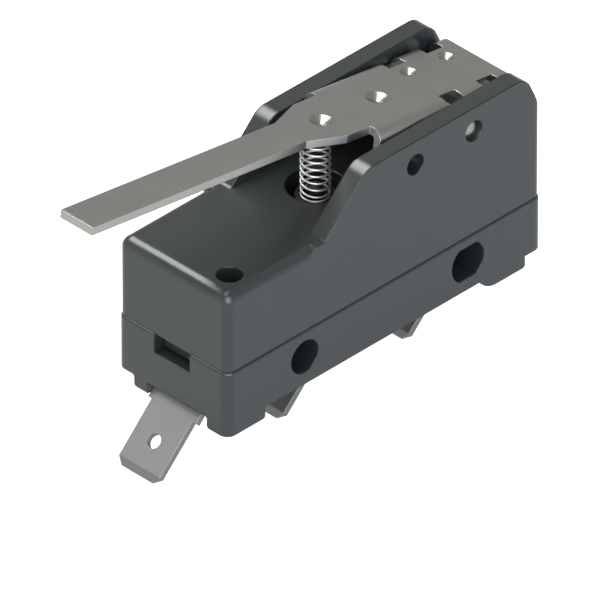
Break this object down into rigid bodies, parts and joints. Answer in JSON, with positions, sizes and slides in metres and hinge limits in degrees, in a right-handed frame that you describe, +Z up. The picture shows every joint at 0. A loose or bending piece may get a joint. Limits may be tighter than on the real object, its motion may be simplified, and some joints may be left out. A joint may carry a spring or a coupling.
{
  "type": "lever micro switch",
  "caption": "Snap-action micro switch with a long stamped lever, an overtravel spring, side mounting holes and slanted push-on blade terminals.",
  "frame": {"origin": "on the axis of the round mounting hole, midway between the two side faces", "axes": "+X along the housing from the common terminal's end to the pivot's end, +Y along the mounting hole across the housing, +Z up from the terminals to the lever"},
  "size_m": [0.0636, 0.0172, 0.0398],
  "materials": {
    "housing_plastic": "fine satin moulding",
    "cover_plastic": "fine satin moulding",
    "lever_steel": "stamped stainless steel, faint rolling grain",
    "pin_steel": "turned steel",
    "spring_steel": "drawn spring wire",
    "terminal_plate": "tin-plated brass, satin",
    "contact_silver": "silver",
    "blade_copper": "beryllium copper strip",
    "plunger_plastic": "moulded"
  },
  "bodies": {
    "housing": {"base_housing": "housing_plastic", "cover_housing": "cover_plastic", "pivot_pin": "pin_steel", "plunger_guide": "plunger_plastic", "common_terminal": "terminal_plate", "open_terminal": "terminal_plate", "closed_terminal": "terminal_plate", "open_contact": "contact_silver", "closed_contact": "contact_silver", "anchor_bracket": "terminal_plate", "anchor_rivet": "terminal_plate"},
    "lever": {"lever": "lever_steel"},
    "plunger": {"plunger": "plunger_plastic", "spring_seat": "plunger_plastic", "lever_spring": "spring_steel"},
    "contact": {"contact_blade": "blade_copper", "moving_contact": "contact_silver", "snap_spring": "blade_copper"}
  },
  "joints": [
    {"name": "lever_pivot", "type": "hinge", "parent": "housing", "child": "lever", "pos_m": [0.0264, 0, 0.01705], "axis": [0, -1, 0], "range_deg": [0, 12], "stiffness_Nm_per_rad": 0.12, "springref_deg": -20.05, "deforming": ["lever_spring"]},
    {"name": "plunger_slide", "type": "slide", "parent": "housing", "child": "plunger", "axis": [0, 0, -1], "range_m": [0, 0.00062]},
    {"name": "contact_rock", "type": "hinge", "parent": "housing", "child": "contact", "pos_m": [-0.00345, 0, 0.007], "axis": [0, 1, 0], "range_deg": [0, 2.6]}
  ],
  "couplings": [
    {"joint": "plunger_slide", "follows": "lever_pivot", "m_per_rad": 0.0028648},
    {"joint": "contact_rock", "follows": "lever_pivot", "ratio": 0.209}
  ]
}
